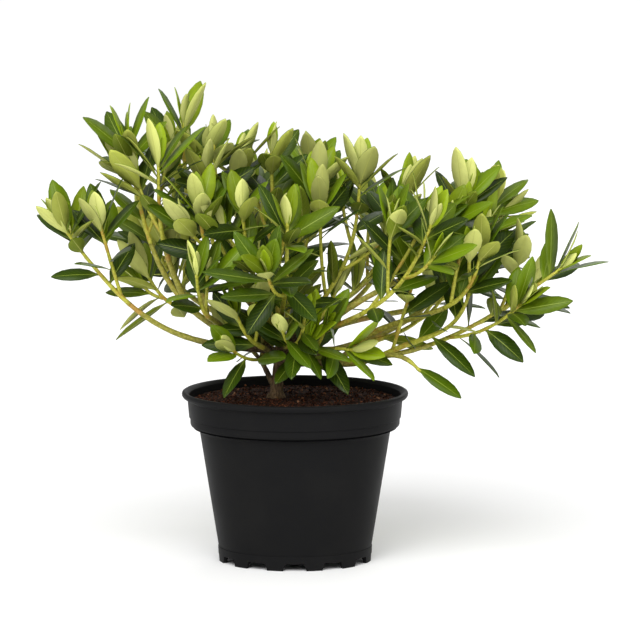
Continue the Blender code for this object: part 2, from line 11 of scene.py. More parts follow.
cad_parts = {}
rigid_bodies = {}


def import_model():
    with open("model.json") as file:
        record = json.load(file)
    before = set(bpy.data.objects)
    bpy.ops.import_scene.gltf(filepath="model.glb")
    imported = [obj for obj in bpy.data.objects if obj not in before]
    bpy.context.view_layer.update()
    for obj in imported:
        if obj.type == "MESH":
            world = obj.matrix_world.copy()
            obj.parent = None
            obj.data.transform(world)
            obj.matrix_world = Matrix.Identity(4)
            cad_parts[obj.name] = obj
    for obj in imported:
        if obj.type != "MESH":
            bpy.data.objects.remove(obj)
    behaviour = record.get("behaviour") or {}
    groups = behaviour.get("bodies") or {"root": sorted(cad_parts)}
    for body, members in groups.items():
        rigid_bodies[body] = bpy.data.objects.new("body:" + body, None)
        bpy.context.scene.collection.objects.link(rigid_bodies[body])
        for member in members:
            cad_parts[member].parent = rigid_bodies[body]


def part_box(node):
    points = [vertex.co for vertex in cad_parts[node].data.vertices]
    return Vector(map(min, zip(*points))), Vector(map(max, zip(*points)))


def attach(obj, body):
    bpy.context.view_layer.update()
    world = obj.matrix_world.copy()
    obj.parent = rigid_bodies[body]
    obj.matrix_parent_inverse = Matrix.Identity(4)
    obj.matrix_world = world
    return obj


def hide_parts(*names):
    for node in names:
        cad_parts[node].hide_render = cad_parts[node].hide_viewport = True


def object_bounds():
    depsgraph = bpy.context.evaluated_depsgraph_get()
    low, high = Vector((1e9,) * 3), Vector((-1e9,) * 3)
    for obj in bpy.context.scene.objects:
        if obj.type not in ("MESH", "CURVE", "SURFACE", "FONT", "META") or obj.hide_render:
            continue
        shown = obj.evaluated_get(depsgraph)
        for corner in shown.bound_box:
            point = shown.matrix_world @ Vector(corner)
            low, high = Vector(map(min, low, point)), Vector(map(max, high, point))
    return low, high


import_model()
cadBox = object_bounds()

mm = 0.001
up = Vector((0, 0, 1))
goldenAngle = math.radians(137.5)
anyTurn = 6.28  # the most that a random turn is
potLow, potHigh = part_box("pot")
potCentre = Vector(((potLow.x + potHigh.x) / 2, (potLow.y + potHigh.y) / 2, 0))  # all is made about it


# The plant grows by the same seeded rule as its solids, then its leaves get finer and more of them grow

soilBed = dict(rimLevel=0.1365, mound=0.0028)

wood = dict(
    sides=6,
    trunkFoot=Vector((-0.0160, 0.0, soilBed["rimLevel"] + soilBed["mound"] + 0.0003)),
    trunkTop=Vector((-0.0125, 0.003, 0.1860)),
    trunkRadii=(0.0088, 0.0056, 0.0048, 0.0046, 0.0040),
    trunkStations=(0.0, 0.10, 0.35, 0.75, 1.0),
    footRadius=0.0030,
    tipRadius=0.0023,
    shootTipRadius=0.0015,
    sideRadius=0.0019,
    leaderStations=5,
    sideStations=3,
    leaderGap=0.00032,
    bend=0.46,
    curveSteps=14,
    limbStation=0.034,
    leastStations=3,
    fineSteps=48,
    fineStation=0.006,
    leastFineStations=8,
    fineLeaderStations=18,
    fineSideStations=12,
    fineOverlap=0.001,
    sideFirst=0.10,
    sideSpan=0.42,
    sideLength=(0.74, 0.90),
    sideSpread=(34, 46),
    sideAhead=0.4,
    sideRise=0.9,
    sideTries=12,
    sideTryTurn=30,
    seed=42,
    leafSeed=142,
)

leafRule = dict(
    length=0.0490,
    width=0.0202,
    cup=0.10,
    middle=0.42,
    outline=[(0.0, 0.0), (0.40, 0.92), (0.80, 0.80), (1.0, 0.0)],
    neck=0.35,
    lengthRange=(0.88, 1.12),
    widthRange=(0.85, 1.12),
    bend=0.05,
    bendRange=0.06,
    bendByOpening=0.0008,
    whorlStart=0.0008,
    whorlSpacing=0.0017,
    whorlOpening=11,
    whorlOpeningStep=6,
    whorlSize=0.70,
    whorlSizeStep=0.12,
    stemStart=0.016,
    stemSpacing=0.0125,
    stemRange=(0.8, 1.25),
    stemOpening=(46, 66),
    stemSize=0.98,
    stemOlder=0.5,
    openingRange=6,
    leastOpening=8,
    tries=8,
    tryTurn=17,
    tryOpening=5,
    bladeStart=0.02,
    rootFree=0.04,
    ownShootFree=0.45,
    bladeMargin=0.0002,
    leafMargin=0.0009,
    limbMargin=0.0010,
    lipMargin=0.003,
    near=1.3 * 0.0490,
    lightTurn=0.5,
    lightOpening=70,
    hangingLight=2.5,
    rise=0.42,
    riseStart=0.3,
    leaderBare=0.08,
    sideBare=0.40,
)

# how the leaves differ from those of the solids, and what more grows: smaller, drooping on low shoots
finerRule = dict(
    slim=0.79,
    stretch=(0.84, 1.14),
    thinned=0.10,
    keptRanks=2,
    roll=16,
    light=(-0.15, -0.85, 0.50),
    lightRoll=(0, 58),
    shyRoll=math.radians(115),
    opens=(2, 28),
    openRanks=5,
    lowHeight=0.226,
    # leaves grown on the low shoots, under the crown, are darkened a step further: partly their age,
    # partly painted shade under the crown
    low=dict(ranks=(6,), spacing=0.018, bare=0.20, small=0.80, droops=(0.5, 1.0), older=0.7),
    high=dict(ranks=(), spacing=0.026, bare=0.22, small=0.95, droops=(0.1, 0.6), older=0.5),
    open=("low_front_left", "low_left"),
    seed=500,
)

# name, parent, place along the parent, tip in mm (side, depth, height), launch over level, lean off
# upright, leafy mm (0 for a shoot from the trunk), shoots, turn of the first side shoot, leaves in a whorl
limbRows = [
    ("far_left", "trunk", 0.86, -197, -15, 288, 2, 36, 88, 3, 150, 7),
    ("left", "trunk", 0.80, -141, -8, 354, 16, 10, 84, 3, 200, 7),
    ("left_front", "left", 0.34, -82, -76, 251, 30, 14, 46, 2, 60, 7),
    ("left_inner", "left", 0.45, -95, 46, 365, 68, 0, 92, 4, 130, 7),
    ("left_middle", "left", 0.62, -115, -34, 341, 55, 0, 66, 2, 310, 7),
    ("left_under", "left", 0.53, -126, 36, 239, 6, 40, 56, 3, 50, 5),
    ("upper_left", "trunk", 0.93, -69, 22, 349, 52, 4, 100, 4, 80, 7),
    ("upper_left_front", "upper_left", 0.42, -80, -58, 305, 45, 8, 66, 3, 240, 7),
    ("upper_centre", "trunk", 1.00, -20, 34, 342, 74, 2, 0, 4, 20, 7),
    ("centre_left", "trunk", 0.94, -44, -48, 304, 62, 8, 104, 3, 190, 7),
    ("front", "trunk", 0.97, -6, -112, 298, 52, 8, 0, 3, 95, 7),
    ("back_centre", "trunk", 0.88, 16, 84, 323, 62, 4, 0, 3, 300, 7),
    ("upper_right", "trunk", 0.84, 93, 46, 306, 36, 14, 124, 3, 150, 7),
    ("centre_right", "upper_right", 0.20, 55, 6, 326, 52, 2, 118, 4, 30, 7),
    ("right", "trunk", 0.78, 113, -90, 295, 30, 24, 108, 4, 210, 7),
    ("right_upper", "right", 0.42, 143, -14, 312, 44, 14, 78, 3, 330, 7),
    ("lower_right", "trunk", 0.70, 168, 34, 301, 6, 24, 104, 3, 100, 7),
    ("lower_right_front", "lower_right", 0.50, 157, -56, 273, 34, 10, 66, 3, 260, 7),
    ("far_right", "trunk", 0.60, 223, -16, 250, 2, 54, 124, 4, 15, 7),
    ("right_under", "far_right", 0.36, 124, 40, 228, 30, 26, 80, 3, 170, 6),
    ("right_low", "far_right", 0.34, 103, -30, 169, -12, 134, 10, 1, 0, 1),
    ("right_fork", "far_right", 0.66, 148, -34, 236, 30, 14, 0, 2, 20, 5),
    ("back_left", "trunk", 0.66, -107, 140, 300, 32, 20, 96, 3, 70, 7),
    ("back", "trunk", 0.82, -17, 172, 293, 34, 22, 100, 3, 250, 7),
    ("back_right", "trunk", 0.54, 94, 148, 291, 30, 20, 100, 3, 140, 7),
    ("right_back", "back_right", 0.40, 168, 104, 256, 20, 30, 70, 2, 320, 7),
    ("left_back", "back_left", 0.40, -124, 92, 266, 18, 26, 62, 3, 40, 7),
    ("low_right", "trunk", 0.62, 47, -36, 185, 22, 92, 0, 3, 160, 5),
    ("low_left", "trunk", 0.10, -50, 14, 185, 60, 70, 34, 2, 120, 5),
    ("low_front", "trunk", 0.80, 8, -70, 213, 30, 30, 0, 3, 60, 5),
    ("low_front_left", "trunk", 0.72, -49, -56, 217, 28, 34, 0, 3, 245, 5),
    ("low_middle", "trunk", 0.90, 33, 16, 224, 40, 24, 0, 3, 320, 5),
    ("low_back", "trunk", 0.84, -8, 92, 211, 32, 30, 0, 2, 20, 5),
]


def limbCurve(start, tip, launch, lean, steps):
    # a cubic from start to tip, with its two handles as long as the bend allows
    reach = tip - start
    heading = Vector((reach.x, reach.y, 0)).normalized()
    launch, lean = math.radians(launch), math.radians(lean)
    pull = reach.length * wood["bend"]
    first = start + pull * (math.cos(launch) * heading + math.sin(launch) * up)
    last = tip - pull * (math.sin(lean) * heading + math.cos(lean) * up)
    points = []
    for step in range(steps + 1):
        t = step / steps
        s = 1 - t
        points.append(s ** 3 * start + 3 * s * s * t * first + 3 * s * t * t * last + t ** 3 * tip)
    return points


def pathLength(points):
    return sum((b - a).length for a, b in zip(points, points[1:]))


def pointAt(points, distance):
    for a, b in zip(points, points[1:]):
        step = (b - a).length
        if distance <= step:
            return a.lerp(b, max(distance, 0) / step), (b - a).normalized()
        distance -= step
    return points[-1].copy(), axisOf(points)


def cutPath(points, start, end, stations):
    return [pointAt(points, start + (end - start) * k / (stations - 1))[0] for k in range(stations)]


def axisOf(points):
    return (points[-1] - points[-2]).normalized()


def taper(foot, tip, count):
    return [foot + (tip - foot) * k / (count - 1) for k in range(count)]


def tubeTree(points, radii):
    # a plain closed tube for the tests of clearance
    corners, faces = [], []
    sides = wood["sides"]
    heading = (points[1] - points[0]).normalized()
    across = heading.orthogonal().normalized()
    for index, (point, radius) in enumerate(zip(points, radii)):
        if index:
            ahead = points[min(index + 1, len(points) - 1)]
            heading = (ahead - points[index - 1]).normalized()
        across = (across - across.dot(heading) * heading).normalized()
        other = heading.cross(across)
        for side in range(sides):
            turn = 2 * math.pi * side / sides
            corners.append(point + radius * (math.cos(turn) * across + math.sin(turn) * other))
    last = sides * (len(points) - 1)
    for ring in range(0, last, sides):
        for side in range(sides):
            beside = (side + 1) % sides
            faces.append((ring + side, ring + beside, ring + sides + beside, ring + sides + side))
    faces.append(tuple(reversed(range(sides))))
    faces.append(tuple(range(last, last + sides)))
    return BVHTree.FromPolygons(corners, faces)


def bladeFans(place, length, width, bend, start, margin):
    # two flat fans, one above and one below the blade
    r = leafRule
    half = width / 2 + margin
    right = [(start, r["neck"])] + r["outline"][1:]
    rim = right + [(along, -across) for along, across in reversed(right[:-1])]
    count = len(rim)
    corners, faces = [], []
    for side in (margin, -margin):
        first = len(corners)
        for along, across in rim:
            lift = r["cup"] * width * abs(across) - bend * length * along ** 2 + side
            reach = (length + margin) * along
            corners.append(place @ Vector((half * across, reach, lift)))
        middle = r["middle"]
        corners.append(place @ Vector((0, middle * length, side - bend * length * middle ** 2)))
        faces += [(first + k, first + (k + 1) % count, first + count) for k in range(count)]
    return corners, faces


def bladeTree(blade, start, margin):
    return BVHTree.FromPolygons(*bladeFans(*blade, start, margin))


def leafPlace(root, heading, faceUp):
    # local +Y runs along the blade and local +Z is its upper side
    y = heading.normalized()
    z = (faceUp - faceUp.dot(y) * y).normalized()
    x = y.cross(z)
    return Matrix.Translation(root) @ Matrix((x, y, z)).transposed().to_4x4()


class Space:
    # what has grown so far, against which each new shoot and leaf is tested
    def __init__(self):
        self.wood = []
        self.blades = []

    def addWood(self, owner, points, radii):
        self.wood.append((owner, tubeTree(points, radii)))

    def woodIsClear(self, owners, tree):
        return not any(owner not in owners and tree.overlap(other) for owner, other in self.wood)

    def bladeIsClear(self, shoot, blade):
        r = leafRule
        wide = bladeTree(blade, r["rootFree"], r["leafMargin"])
        outer = bladeTree(blade, r["ownShootFree"], r["bladeMargin"])
        middle = blade[0] @ Vector((0, blade[1] / 2, 0))
        if not self.woodIsClear({shoot}, bladeTree(blade, r["rootFree"], r["limbMargin"])):
            return False
        for otherShoot, otherMiddle, full, part in self.blades:
            if (middle - otherMiddle).length > r["near"]:
                continue
            if otherShoot == shoot:
                if outer.overlap(part):
                    return False
            elif wide.overlap(full):
                return False
        return True

    def addBlade(self, shoot, blade):
        r = leafRule
        full = bladeTree(blade, r["bladeStart"], r["bladeMargin"])
        part = bladeTree(blade, r["ownShootFree"], r["bladeMargin"])
        self.blades.append((shoot, blade[0] @ Vector((0, blade[1] / 2, 0)), full, part))


def outwardFrom(axis, turn):
    # square to the axis, at a turn about it
    across = axis.orthogonal().normalized()
    return math.cos(turn) * across + math.sin(turn) * axis.cross(across)


def sideShoot(leader, along, turn, length, rng):
    # leaves its leader at an angle and then turns upright, given with few points and with many
    root, heading = pointAt(leader, along * pathLength(leader))
    outward = outwardFrom(heading, turn)
    spread = math.radians(rng.uniform(*wood["sideSpread"]))
    start = math.cos(spread) * heading + math.sin(spread) * outward
    finish = (start + wood["sideRise"] * up + wood["sideAhead"] * heading).normalized()
    tip = root + length * (0.5 * start + 0.5 * finish)
    middle = root + 0.5 * length * start
    made = []
    for count in (wood["sideStations"], wood["fineSideStations"]):
        points = []
        for step in range(count):
            t = step / (count - 1)
            points.append((1 - t) ** 2 * root + 2 * t * (1 - t) * middle + t * t * tip)
        made.append(points)
    return made


def leafPlaces(points, rng, bare, ranks, spacing):
    # distance along the shoot, opening and size of each leaf, from the tip down
    r = leafRule
    total = pathLength(points)
    places = []
    for rank in ranks:
        size = min(1.0, r["whorlSize"] + r["whorlSizeStep"] * rank) if len(ranks) > 1 else 1.0
        opening = r["whorlOpening"] + r["whorlOpeningStep"] * rank
        places.append((total - r["whorlStart"] - rank * r["whorlSpacing"], opening, size))
    distance = total - r["stemStart"]
    while distance > bare:
        places.append((distance, rng.uniform(*r["stemOpening"]), r["stemSize"]))
        distance -= spacing * rng.uniform(*r["stemRange"])
    return places


def overPot(blade):
    r = leafRule
    for corner in bladeFans(*blade, r["rootFree"], r["leafMargin"])[0]:
        if corner.z < potShape["height"] + r["lipMargin"]:
            if corner.xy.length < potShape["lipRadius"] + r["lipMargin"]:
                return True
    return False


def growLeaves(paths, shoot, bare, ranks, spacing, space, rng, slim=1.0, small=1.0, droops=None):
    # leaves by the golden angle from the tip down, each turned or left out where it would touch
    r = leafRule
    points, fine = paths
    share = pathLength(fine) / pathLength(points)
    leaves = []
    turn = rng.uniform(0, 2 * math.pi)
    for rank, (distance, opening, size) in enumerate(leafPlaces(points, rng, bare, ranks, spacing)):
        root, axis = pointAt(points, distance)
        opening += rng.uniform(-r["openingRange"], r["openingRange"])
        length = r["length"] * size * rng.uniform(*r["lengthRange"]) * small
        width = r["width"] * math.sqrt(size) * rng.uniform(*r["widthRange"]) * slim
        bend = r["bend"] + rng.uniform(-r["bendRange"], r["bendRange"]) + r["bendByOpening"] * opening
        droop = rng.uniform(*droops) if droops else 0.0
        for attempt in range(r["tries"]):
            nudge = (attempt + 1) // 2 * (1 if attempt % 2 else -1)
            angle = turn + rank * goldenAngle + nudge * math.radians(r["tryTurn"])
            lean = math.radians(max(r["leastOpening"], opening + (attempt % 3 - 1) * r["tryOpening"]))
            outward = outwardFrom(axis, angle)
            rise = r["rise"] * min(1.0, max(0.0, axis.z + r["riseStart"])) - droop
            heading = math.cos(lean) * axis + math.sin(lean) * outward + rise * up
            upper = math.sin(lean) * axis - math.cos(lean) * outward
            light = r["lightTurn"] * min(1.0, opening / r["lightOpening"])
            light += r["hangingLight"] * max(0.0, -axis.z)
            place = leafPlace(root, heading, upper + (light + droop) * up)
            blade = (place, length, width, bend)
            if not overPot(blade) and space.bladeIsClear(shoot, blade):
                space.addBlade(shoot, blade)
                shown = place.copy()  # the root moves on to the smooth twig
                shown.translation = pointAt(fine, distance * share)[0]
                blade = (shown, length, width, bend)
                older = 0.0 if rank < len(ranks) else r["stemOlder"]
                leaves.append(dict(blade=blade, shoot=shoot, rank=rank, older=older))
                break
    return leaves


def growPlant():
    space = Space()
    w = wood
    trunk = [w["trunkFoot"].lerp(w["trunkTop"], along) for along in w["trunkStations"]]
    space.addWood("trunk", trunk, w["trunkRadii"])
    limbs = {"trunk": dict(path=trunk)}
    for name, parent, along, side, depth, height, launch, lean, leafy, *_ in limbRows:
        path = limbs[parent]["path"]
        start = pointAt(path, along * pathLength(path))[0]
        tip = Vector((side, depth, height)) * mm
        whole = limbCurve(start, tip, launch, lean, w["curveSteps"])
        fine = limbCurve(start, tip, launch, lean, w["fineSteps"])
        total = pathLength(whole)
        enters = total - leafy * mm if leafy else 0.0
        share = enters / total * pathLength(fine)
        limb = dict(foot=w["tipRadius"] if leafy else w["footRadius"])
        if leafy:
            stations = max(w["leastStations"], round(enters / w["limbStation"]) + 1)
            limb["path"] = cutPath(whole, 0, enters, stations)
            space.addWood(name, limb["path"], taper(w["footRadius"], w["tipRadius"], stations))
            stations = max(w["leastFineStations"], round(enters / w["fineStation"]))
            limb["fineBough"] = cutPath(fine, 0, share, stations)
            enters += w["leaderGap"]
        limb["leader"] = cutPath(whole, enters, total, w["leaderStations"])
        enters = max(0.0, share - w["fineOverlap"])
        limb["fineLeader"] = cutPath(fine, enters, pathLength(fine), w["fineLeaderStations"])
        limb.setdefault("path", limb["leader"])
        radii = taper(limb["foot"], w["shootTipRadius"], w["leaderStations"])
        space.addWood(name + "_0", limb["leader"], radii)
        limbs[name] = limb

    for number, row in enumerate(limbRows):
        name, shoots, firstTurn = row[0], row[9], row[10]
        rng = random.Random(w["seed"] + number)
        limb = limbs[name]
        leafy = pathLength(limb["leader"])
        limb["shoots"] = [(limb["leader"], limb["fineLeader"], limb["foot"])]
        for side in range(1, shoots):
            along = w["sideFirst"] + w["sideSpan"] * (side - 1) / max(1, shoots - 2)
            length = leafy * (1 - along) * rng.uniform(*w["sideLength"])
            for attempt in range(w["sideTries"]):
                turn = math.radians(firstTurn + attempt * w["sideTryTurn"]) + side * goldenAngle
                points, fine = sideShoot(limb["leader"], along, turn, length, rng)
                radii = taper(w["sideRadius"], w["shootTipRadius"], len(points))
                tree = tubeTree(points, [radius + leafRule["limbMargin"] for radius in radii])
                if space.woodIsClear({f"{name}_0"}, tree):
                    limb["shoots"].append((points, fine, w["sideRadius"]))
                    space.addWood(f"{name}_{side}", points, radii)
                    break

    for number, row in enumerate(limbRows):
        name, ranks = row[0], range(row[11])
        rng = random.Random(w["leafSeed"] + number)
        limbs[name]["leaves"] = []
        for index, (points, fine, radius) in enumerate(limbs[name]["shoots"]):
            bare = pathLength(points) * (leafRule["leaderBare"] if index == 0 else leafRule["sideBare"])
            limbs[name]["leaves"] += growLeaves(
                (points, fine), f"{name}_{index}", bare, ranks, leafRule["stemSpacing"], space, rng)
    return limbs, space.wood


def lightRoll(place, most):
    # how far a leaf rolls about its own length to turn its upper side to the light
    light = place.to_3x3().inverted() @ Vector(finerRule["light"])
    roll = math.atan2(light.x, light.z)
    return 0.0 if abs(roll) > finerRule["shyRoll"] else max(-most, min(most, roll))


def keepLeaf(leaf, rng):
    # a few of the outer leaves have fallen; the single hanging one stays
    return rng.random() > finerRule["thinned"] or leaf["rank"] < finerRule["keptRanks"]


def inReach(blade):
    tip = blade[0] @ Vector((0, blade[1], 0)) + potCentre
    return all(low <= part <= high for low, part, high in zip(cadBox[0], tip, cadBox[1]))


def growFiner(limbs, woodGrown):
    # each leaf takes its true, slimmer shape, and more such leaves grow where they find room
    f = finerRule
    space = Space()
    space.wood = woodGrown
    rng = random.Random(f["seed"])
    for name, *_ in limbRows:
        limbs[name]["leaves"] = [leaf for leaf in limbs[name]["leaves"] if keepLeaf(leaf, rng)]
        for leaf in limbs[name]["leaves"]:
            place, length, width, bend = leaf["blade"]
            stretch = rng.uniform(*f["stretch"]) - 1
            roll = lightRoll(place, math.radians(rng.uniform(*f["lightRoll"])))
            roll += math.radians(rng.uniform(-f["roll"], f["roll"]))
            opens = math.radians(rng.uniform(*f["opens"])) * min(1.0, leaf["rank"] / f["openRanks"])
            for share in (1.0, 0.5, 0.0):  # rolled and opened further where there is room
                turned = place @ Matrix.Rotation(-share * opens, 4, "X")
                turned = turned @ Matrix.Rotation(share * roll, 4, "Y")
                blade = (turned, length * (1 + share * stretch), width * f["slim"], bend)
                if inReach(blade) and not overPot(blade) and space.bladeIsClear(leaf["shoot"], blade):
                    break
            leaf["blade"] = blade
            space.addBlade(leaf["shoot"], blade)
    for number, (name, *_) in enumerate(limbRows):
        rng = random.Random(f["seed"] + number)
        for index, (points, fine, radius) in enumerate(limbs[name]["shoots"]):
            if axisOf(points).z < 0 or name in f["open"]:
                continue
            rule = f["low"] if points[-1].z < f["lowHeight"] else f["high"]
            grown = growLeaves(
                (points, fine), f"{name}_{index}", pathLength(points) * rule["bare"], rule["ranks"],
                rule["spacing"], space, rng, f["slim"] * rule["small"], rule["small"], rule["droops"])
            for leaf in grown:
                leaf["older"] = rule["older"]
            limbs[name]["leaves"] += [leaf for leaf in grown if inReach(leaf["blade"])]


class Wire:
    # one output socket, so that sums on sockets read as plain arithmetic
    def __init__(self, shader, socket):
        self.shader, self.socket = shader, socket

    def sum(self, operation, a, b):
        return self.shader.node("ShaderNodeMath", dict(operation=operation), {0: a, 1: b})

    def __add__(self, other):
        return self.sum("ADD", self, other)

    def __radd__(self, other):
        return self.sum("ADD", other, self)

    def __sub__(self, other):
        return self.sum("SUBTRACT", self, other)

    def __rsub__(self, other):
        return self.sum("SUBTRACT", other, self)

    def __mul__(self, other):
        return self.sum("MULTIPLY", self, other)

    def __rmul__(self, other):
        return self.sum("MULTIPLY", other, self)

    def __abs__(self):
        return self.sum("ABSOLUTE", self, 0.0)


class Shader:
    # a material under construction
    def __init__(self, name):
        self.material = bpy.data.materials.new(name)
        self.material.use_nodes = True
        self.tree = self.material.node_tree
        self.tree.nodes.clear()

    def node(self, kind, settings=None, sockets=None, output=0):
        made = self.tree.nodes.new(kind)
        for key, value in (settings or {}).items():
            setattr(made, key, value)
        for key, value in (sockets or {}).items():
            if isinstance(value, Wire):
                self.tree.links.new(value.socket, made.inputs[key])
            else:
                made.inputs[key].default_value = value
        return Wire(self, made.outputs[output]) if made.outputs else None

    def place(self):
        return self.node("ShaderNodeTexCoord", output="Object")

    def stretched(self, vector, scale):
        return self.node("ShaderNodeMapping", None, {"Vector": vector, "Scale": scale})

    def noise(self, vector, scale, detail=3.0, roughness=0.55):
        sockets = {"Vector": vector, "Scale": scale, "Detail": detail, "Roughness": roughness}
        return self.node("ShaderNodeTexNoise", None, sockets)

    def step(self, value, low, high, start=0.0, end=1.0):
        # a smooth step from start to end as the value goes from low to high
        sockets = {"Value": value, "From Min": low, "From Max": high, "To Min": start, "To Max": end}
        return self.node("ShaderNodeMapRange", dict(interpolation_type="SMOOTHSTEP"), sockets)

    def mix(self, share, a, b):
        sockets = {0: share, 6: colour(a), 7: colour(b)}
        return self.node("ShaderNodeMix", dict(data_type="RGBA"), sockets, 2)

    def bump(self, height, strength, distance, under=None):
        sockets = {"Height": height, "Strength": strength, "Distance": distance}
        if under:
            sockets["Normal"] = under
        return self.node("ShaderNodeBump", None, sockets)

    def sine(self, value):
        return self.node("ShaderNodeMath", dict(operation="SINE"), {0: value})

    def finish(self, sockets):
        surface = self.node("ShaderNodeBsdfPrincipled", None, sockets)
        self.node("ShaderNodeOutputMaterial", None, {"Surface": surface})
        return self.material


def colour(value):
    return value if isinstance(value, Wire) else (*value, 1.0)


def linked(name, data):
    item = bpy.data.objects.new(name, data)
    bpy.context.scene.collection.objects.link(item)
    return item


def addPiece(name, mesh, materials, nodes):
    for material in materials:
        mesh.materials.append(material)
    mesh.transform(Matrix.Translation(potCentre))
    piece = linked(name, mesh)
    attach(piece, "root")
    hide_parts(*nodes)


def asMesh(name, bm, smooth=True):
    mesh = bpy.data.meshes.new(name)
    bm.to_mesh(mesh)
    bm.free()
    if smooth:
        mesh.shade_smooth()
    return mesh


def settledMesh(item):
    # the mesh of a curve, or of an object with its modifiers done; the object itself goes
    bpy.context.view_layer.update()
    mesh = bpy.data.meshes.new_from_object(item.evaluated_get(bpy.context.evaluated_depsgraph_get()))
    bpy.data.objects.remove(item, do_unlink=True)
    return mesh


def strandMesh(name, strands, roundness):
    # tapering round strands along dense paths, closed at both ends
    curve = bpy.data.curves.new(name, "CURVE")
    curve.dimensions = "3D"
    curve.bevel_depth = 1.0
    curve.bevel_resolution = roundness
    curve.use_fill_caps = True
    for points, radii in strands:
        spline = curve.splines.new("POLY")
        spline.points.add(len(points) - 1)
        for knot, point, radius in zip(spline.points, points, radii):
            knot.co = (*point, 1.0)
            knot.radius = radius
    mesh = settledMesh(linked(name, curve))
    bpy.data.curves.remove(curve)
    bm = bmesh.new()
    bm.from_mesh(mesh)
    bpy.data.meshes.remove(mesh)
    bmesh.ops.remove_doubles(bm, verts=bm.verts, dist=1e-6)
    bmesh.ops.recalc_face_normals(bm, faces=bm.faces)
    return bm


def spunShell(profile, steps):
    # an outline of (radius, height), turned about the upright axis
    bm = bmesh.new()
    points = [bm.verts.new((radius, 0, height)) for radius, height in profile]
    edges = [bm.edges.new(pair) for pair in zip(points, points[1:])]
    bmesh.ops.spin(
        bm,
        geom=points + edges,
        cent=(0, 0, 0),
        axis=(0, 0, 1),
        angle=2 * math.pi,
        steps=steps,
        use_merge=True,
    )
    bmesh.ops.remove_doubles(bm, verts=bm.verts, dist=1e-5)
    bmesh.ops.delete(bm, geom=[edge for edge in bm.edges if not edge.link_faces], context="EDGES")
    bmesh.ops.recalc_face_normals(bm, faces=bm.faces)
    return bm


potShape = dict(
    height=0.145,
    steps=144,
    wall=0.0016,
    bodyWall=0.0032,
    lipRadius=0.0964,
    collarTopRadius=0.0918,
    collarFootRadius=0.0891,
    collarFoot=0.1165,
    ridge=0.0064,
    ledgeRadius=0.0813,
    ledgeFoot=0.1112,
    bodyFootRadius=0.0652,
    baseRingTop=0.0125,
    skirtFoot=0.006,
    floorTop=0.0095,
    floorUnderside=0.0078,
    skirtWall=0.0034,
    skirtDraft=0.0010,
    lipDepth=0.0030,
    collarStep=0.0022,
    ledgeStep=0.0010,
    # out and up from where each edge is: the ring at the foot, the ledge, the groove under the collar, the
    # collar's own edge, the low ridge round it, the shoulder under the lip and the roll of the lip
    ringEdge=((0.0005, -0.0005), (-0.0001, 0.0), (0.0003, 0.0012)),
    ledgeEdge=((-0.0003, -0.0016), (0.0, 0.0), (0.0009, 0.0012)),
    groove=((-0.0024, -0.0024), (-0.0040, -0.0018), (-0.0040, -0.0003), (-0.0006, -0.0006)),
    collarEdge=((0.0, 0.0006), (0.0001, 0.0022)),
    ridgeEdge=((0.0002, -0.0005), (0.0011, 0.0), (0.0012, 0.0008)),
    shoulder=((-0.0002, -0.0072), (0.0008, -0.0060)),
    lipRoll=((-0.0011, -0.0050), (-0.0002, -0.0036), (0.0, -0.0022), (-0.0005, -0.0008),
             (-0.0016, -0.0001), (-0.0026, 0.0), (-0.0038, -0.0005)),
    feet=12,
    footWidth=0.0158,
    footFlare=0.0022,
    footRound=0.0012,
    gapReach=4,
    sharpAngle=32,
)

potFinish = dict(
    black=(0.0085, 0.0085, 0.0088),
    dusty=(0.0125, 0.0122, 0.0118),
    roughness=0.46,
    specular=0.03,
    cloudScale=22.0,
    cloudTint=(0.42, 0.78),
    cloudShare=0.5,
    cloudGloss=(0.3, 0.8, -0.05, 0.07),
    grainScale=1400.0,
    grainBump=(0.10, 0.00012),
    ringStretch=(8.0, 8.0, 900.0),  # faint turning marks
    ringBump=(0.06, 0.00018),
)


def makePotMaterial():
    f = potFinish
    s = Shader("blackPlastic")
    place = s.place()
    cloud = s.noise(place, f["cloudScale"], 4.0)
    grain = s.noise(place, f["grainScale"], 2.0)
    rings = s.noise(s.stretched(place, f["ringStretch"]), 1.0, 1.0)
    return s.finish({
        "Base Color": s.mix(s.step(cloud, *f["cloudTint"]) * f["cloudShare"], f["black"], f["dusty"]),
        "Roughness": f["roughness"] + s.step(cloud, *f["cloudGloss"]),
        "Specular IOR Level": f["specular"],
        "Normal": s.bump(rings, *f["ringBump"], s.bump(grain, *f["grainBump"])),
    })


def edgeAt(radius, height, offsets):
    return [(radius + out, height + rise) for out, rise in offsets]


